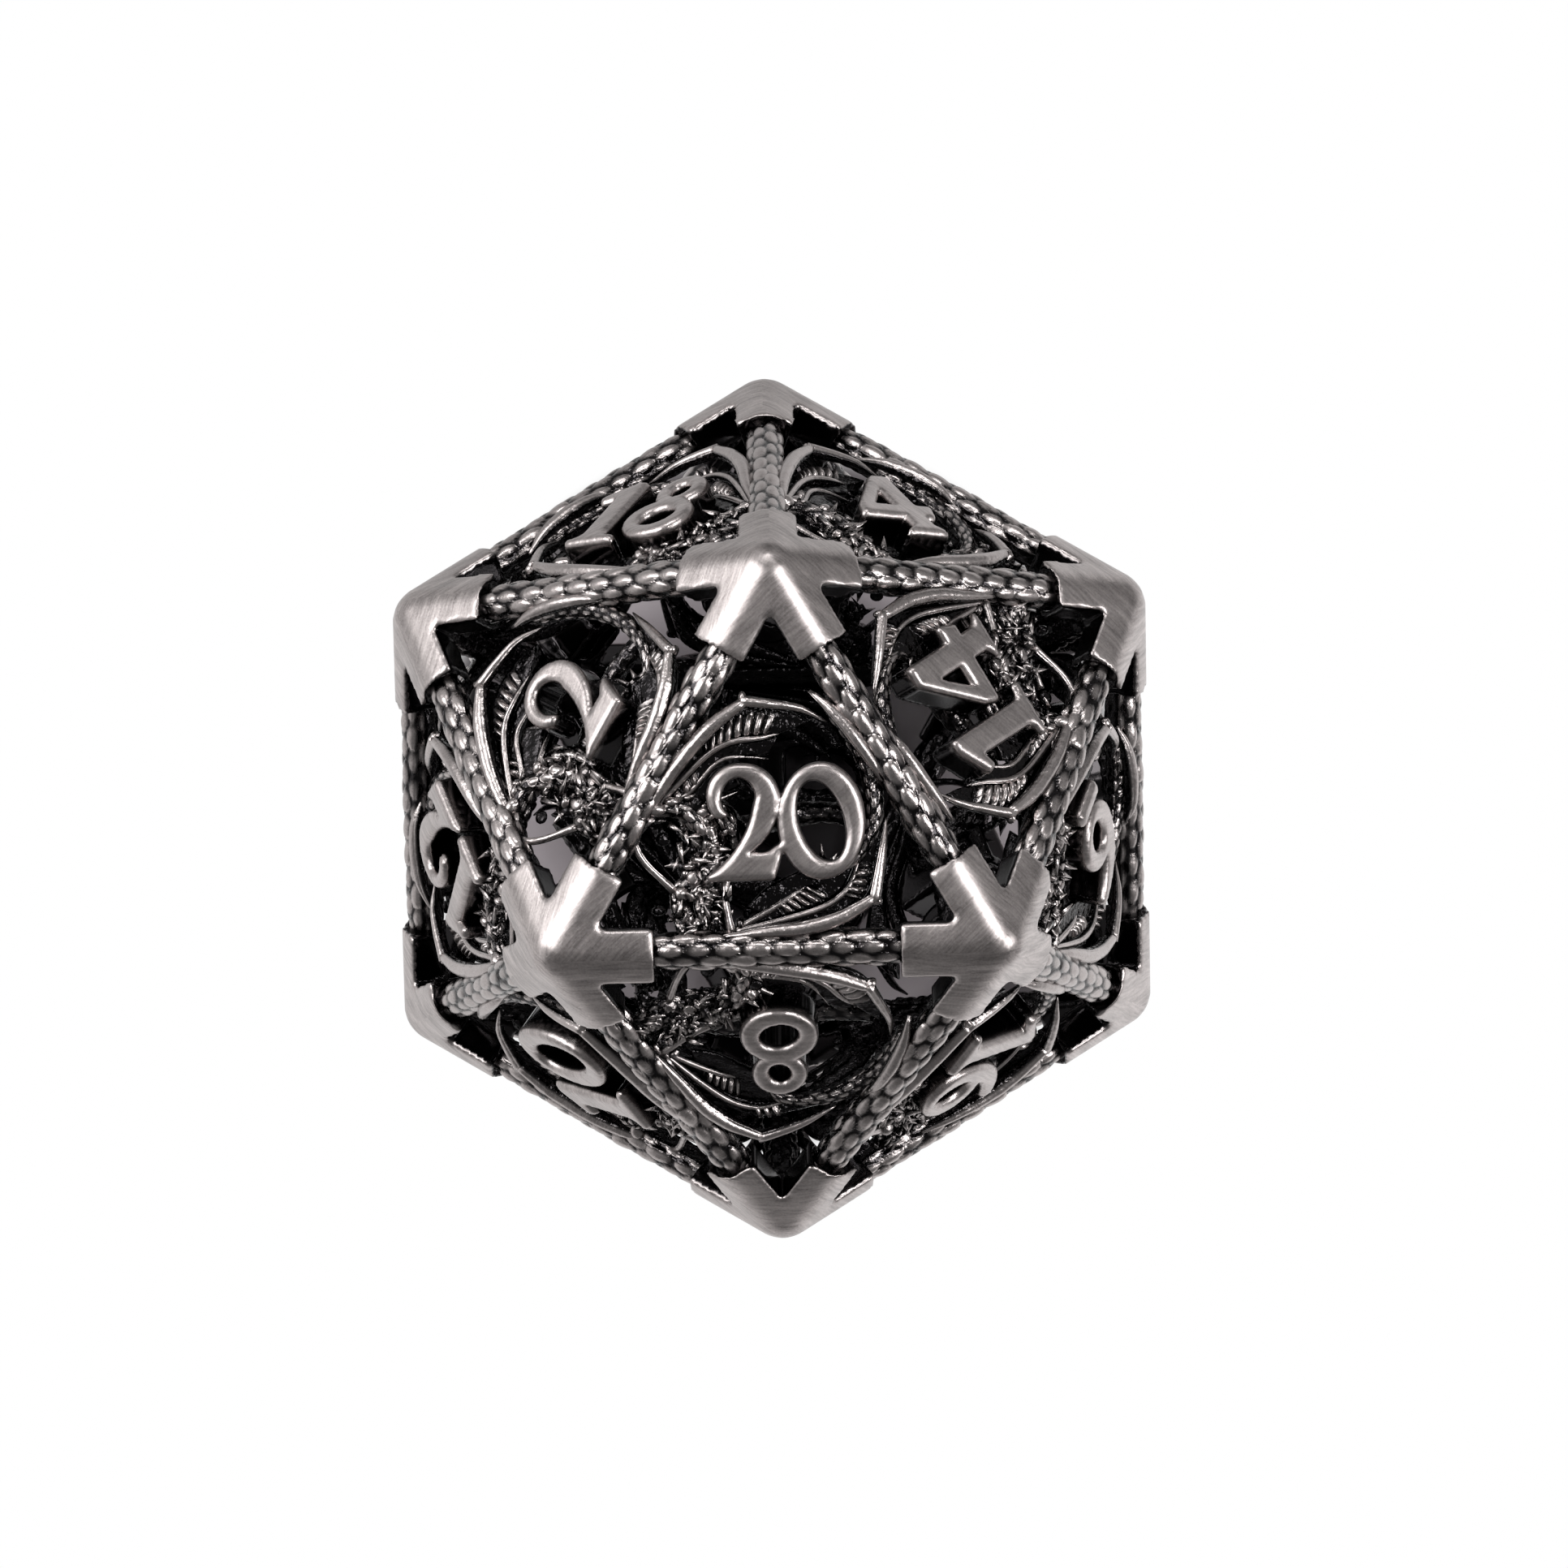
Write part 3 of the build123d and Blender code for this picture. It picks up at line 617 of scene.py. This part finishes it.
def skin(shape, leading, trailing, ribs, start, end, depth=1.0, thickness=0.2, relief=0.3):
    """Add a thin closed skin between two lines, with raised ribs across its outer side."""
    steps = ribs * RIB_FINENESS
    first = smooth_line([(x, y, 0) for x, y in fractions(leading)], steps)[0]
    last = smooth_line([(x, y, 0) for x, y in fractions(trailing)], steps)[0]
    grid, along, turn, ring = tube_grid(shape, steps, SKIN_SIDES)
    across = (np.sin(turn) + 1) / 2
    place = first[ring] * (1 - across)[:, None] + last[ring] * across[:, None]
    outer = np.clip(np.cos(turn), 0, 1)**0.5
    window = np.clip((across - 0.22) / 0.12, 0, 1) * np.clip((0.97 - across) / 0.08, 0, 1)
    window = window * np.clip((along - start) * 20, 0, 1) * np.clip((end - along) * 20, 0, 1)
    rib = np.clip(1.6 * np.cos(2 * math.pi * along * ribs) + 0.5, 0, 1) * window * outer
    place[:, 2] = -depth + thickness * np.cos(turn) + relief * rib - 0.12 * np.sin(math.pi * across)
    close_tube(shape, grid, place, 0.15 + 0.2 * window + 0.6 * rib)


def barb(shape, x, y, depth, lean, bearing, length, radius):
    """Add one claw, spine or raised scale as a small cone that leans along a bearing."""
    crests = shape.verts.layers.float["crest"]
    at = (Matrix.Translation((x * edge / MM, y * edge / MM, -depth))
          @ Matrix.Rotation(math.radians(bearing), 4, "Z") @ Matrix.Rotation(math.radians(lean), 4, "Y")
          @ Matrix.Translation((0, 0, length / 2)))
    made = bmesh.ops.create_cone(shape, cap_ends=True, segments=6, radius1=radius, radius2=radius * 0.08,
                                 depth=length, matrix=at)["verts"]
    for vertex in made:
        vertex[crests] = 0.9 if (at.inverted() @ vertex.co).z > 0 else 0.35


def knob(shape, x, y, depth, size, crest, divisions=3):
    """Add a rounded lump, such as a skull, brow, knee or snout."""
    at = (Matrix.Translation((x * edge / MM, y * edge / MM, -depth)) @ Matrix.Diagonal((*size, 1)))
    for vertex in bmesh.ops.create_icosphere(shape, subdivisions=divisions, radius=1, matrix=at)["verts"]:
        vertex[shape.verts.layers.float["crest"]] = crest


def dragon(turn, barred):
    """One dragon in its face's own frame, with the tail bar turned to lie behind the numeral."""
    shape = bmesh.new()
    shape.verts.layers.float.new("crest")
    for points, widths, tall in WINGS + BONES:
        limb(shape, fractions(points), widths, tall=tall)
    for wing_skin in SKINS:
        skin(shape, *wing_skin)
    for index, (points, widths, rows, pitch) in enumerate(SCALED):
        limb(shape, fractions(points), widths, rows=rows, pitch=pitch, relief=0.3, seed=index)
    for place_and_look in KNOBS:
        knob(shape, *place_and_look)
    for x, y, bearing, length in HORNS:
        barb(shape, x, y, HORN_DEPTH, HORN_LEAN, bearing, length, HORN_RADIUS)
    luck = random.Random(SEED)
    for index in range(BARB_COUNT):
        x = luck.gauss(-0.155, 0.034)
        y = luck.uniform(-0.22, 0.045)
        barb(shape, x, y, luck.uniform(0.6, 1.1), luck.uniform(45, 88), luck.uniform(0, 360),
             luck.uniform(0.3, 0.75), luck.uniform(0.08, 0.16))
    for index in range(LUMP_COUNT):
        x = luck.gauss(-0.16, 0.036)
        y = luck.uniform(-0.22, 0.045)
        size = [luck.uniform(0.08, 0.26) for axis in range(3)]
        knob(shape, x, y, luck.uniform(0.75, 1.15), size, luck.choice((0.2, 0.5, 0.95)), divisions=2)
    swing = Matrix.Rotation(math.radians(turn), 3, "Z")
    holds = [(HOLD, [0.8 * HOLD_RADIUS, HOLD_RADIUS, 0.8 * HOLD_RADIUS])]
    if barred:
        holds.append((SPINE, [0.8 * HOLD_RADIUS]))
    for points, widths in holds:
        route = [swing @ Vector((x * edge / MM, y * edge / MM, -HOLD_DEPTH)) for x, y in points]
        limb(shape, route, widths, rows=8, pitch=0.55, relief=0.28)
    return closed_mesh(shape, MM, "dragon")


def dragon_polish(depth, crest, blotch):
    """Rubbed on the crests, less so further down in the window."""
    return (crest + 0.5 * (blotch - 0.5)).rise(0.33, 0.75) * (1 - 0.75 * depth.rise(0.75, 1.35))


dragon_silver = antique_silver("dragon_silver", dragon_polish, scratch=0.1, hammer=0.13)
patterns = {}
for number in faces:
    turn = faces[number][3]
    kind = (turn, number in BARRED)
    if kind not in patterns:
        patterns[kind] = dragon(*kind)
    mesh = patterns[kind].copy()
    mesh.transform(face_frame(number))
    finish_piece(f"winged_dragon_{number:02d}", mesh, dragon_silver, f"dragon_{number:02d}")
for mesh in [rod_mesh, *patterns.values()]:
    bpy.data.meshes.remove(mesh)


# Studio. A plain white table under and round the die with a shade painted under it, a white surround, and
# soft boxes to the left and right, so that the metal shows grey above, white below, and bright streaks on its
# ridges.

# In metres. The painted shade's distances are from the middle of the face that the die rests on.
TABLE_SIZE = 2.0
LIFT = 0.00002              # of the die above the table
CORE = (0.0035, 0.006)      # where the painted shade goes from black under the middle to grey
RING = (0.008, 0.0095)      # where the painted shade darkens again under the die's widest part
# where the painted shade gives way to the table's plain white glow
SHADE_END = (0.0108, 0.0121)


def axes_of(signal):
    """The X and Y parts of a vector signal."""
    split = signal.tree.nodes.new("ShaderNodeSeparateXYZ")
    signal.tree.links.new(split.inputs[0], signal.socket)
    return [Signal(signal.tree, split.outputs[axis]) for axis in "XYZ"]


def camera_ray(tree):
    """1 for rays that come straight from the camera."""
    return Signal(tree, tree.nodes.new("ShaderNodeLightPath").outputs["Is Camera Ray"])


def white_table():
    """Table top that shows as plain white away from the die, with a shade painted into its colour under it.

    In the metal it shines white close by, and dimmer further off except to the left.
    """
    material = bpy.data.materials.new("white_table")
    material.use_nodes = True
    tree = material.node_tree
    tree.nodes.clear()
    start = Signal(tree, None)
    place = start.node("ShaderNodeTexCoord", output=3)
    x, y, _ = axes_of(place)
    distance = start.node("ShaderNodeVectorMath", {"operation": "LENGTH"}, {0: place}, output=1)
    seen = camera_ray(tree)
    far = distance.rise(0.03, 0.09) * (1 - 0.8 * (0 - x).rise(0.0, 0.05))
    nearby = 1 + 0.22 * x.rise(0.0, 0.02) - 0.32 * y.rise(0.004, 0.02)
    light = seen + (1 - seen) * (nearby - 0.75 * far)
    # Painted shade: the table's colour under the die is black under the middle, grey further out and dark
    # again under the die's widest part, besides the die's cast shadow.
    painted_shade_colour = distance.rise(*CORE).between((0.05, 0.045, 0.048, 1), (0.42, 0.38, 0.4, 1))
    painted_shade_colour = distance.rise(*RING).between(painted_shade_colour, (0.1, 0.09, 0.095, 1))
    shade = start.node("ShaderNodeBsdfDiffuse", inputs={"Color": painted_shade_colour})
    glow = start.node("ShaderNodeEmission", inputs={"Color": light, "Strength": 1.0})
    mixed = start.node("ShaderNodeMixShader", inputs={0: distance.rise(*SHADE_END), 1: shade, 2: glow})
    output = tree.nodes.new("ShaderNodeOutputMaterial")
    tree.links.new(output.inputs["Surface"], mixed.socket)
    return material


top = bmesh.new()
bmesh.ops.create_grid(top, x_segments=1, y_segments=1, size=TABLE_SIZE / 2)
table_mesh = bpy.data.meshes.new("table")
top.to_mesh(table_mesh)
top.free()
table_mesh.transform(Matrix.Translation((0, 0, -LIFT)))
table_mesh.materials.append(white_table())
table = bpy.data.objects.new("table", table_mesh)
bpy.context.scene.collection.objects.link(table)

world = bpy.data.worlds.new("surround")
bpy.context.scene.world = world
world.use_nodes = True
tree = world.node_tree
tree.nodes.clear()
start = Signal(tree, None)
x, y, z = axes_of(start.node("ShaderNodeTexCoord", output=0))
left = (0 - x).rise(-0.3, 0.8)
front = (0 - y).rise(0.1, 0.8)
skirt = (1 - z.rise(0.12, 0.75)) * (0.25 + 0.6 * left) * (1 - 0.9 * front)
seen = camera_ray(tree)
light = seen + (1 - seen) * (0.15 + skirt)
backdrop = start.node("ShaderNodeBackground", inputs={"Color": light, "Strength": 1.0})
output = tree.nodes.new("ShaderNodeOutputWorld")
tree.links.new(output.inputs["Surface"], backdrop.socket)

SOFT_BOXES = (
    # azimuth from +X, elevation, distance, width, height, watts
    (154, 40, 0.3, 0.16, 0.26, 0.75),
    (22, 56, 0.3, 0.1, 0.12, 0.4),
    (350, 30, 0.3, 0.06, 0.16, 0.3),
    (92, 34, 0.3, 0.16, 0.05, 0.22),
)
for index, (azimuth, elevation, distance, width, height, power) in enumerate(SOFT_BOXES):
    toward = Vector((math.cos(math.radians(azimuth)) * math.cos(math.radians(elevation)),
                     math.sin(math.radians(azimuth)) * math.cos(math.radians(elevation)),
                     math.sin(math.radians(elevation))))
    light = bpy.data.lights.new(f"soft_box_{index}", "AREA")
    light.shape = "RECTANGLE"
    light.size = width
    light.size_y = height
    light.energy = power
    lamp = bpy.data.objects.new(f"soft_box_{index}", light)
    lamp.location = centre + toward * distance
    lamp.rotation_euler = (-toward).to_track_quat("-Z", "Y").to_euler()
    bpy.context.scene.collection.objects.link(lamp)


# Camera. A long lens straight above the face marked 20, a little off its axis.

LENS = 408.7                # in millimetres
SENSOR_WIDTH = 36
DISTANCE = 38.178           # in edges
SIDEWAYS = (0.02276, 0.04936)   # in edges
TILT = Vector((0.04027, 0.0032, 0.02259))   # its axis, with its angle in radians as its length

camera_data = bpy.data.cameras.new("camera")
camera_data.lens = LENS
camera_data.sensor_width = SENSOR_WIDTH
camera_data.clip_start = 0.01
camera_data.clip_end = 10
camera = bpy.data.objects.new("camera", camera_data)
tilt = Matrix.Rotation(TILT.length, 4, TILT.normalized()).transposed()
offset = tilt.to_3x3() @ Vector((SIDEWAYS[0], SIDEWAYS[1], DISTANCE)) * edge
camera.matrix_world = Matrix.Translation(centre + offset) @ tilt
bpy.context.scene.collection.objects.link(camera)
bpy.context.scene.camera = camera
bpy.context.scene.view_settings.view_transform = "Standard"
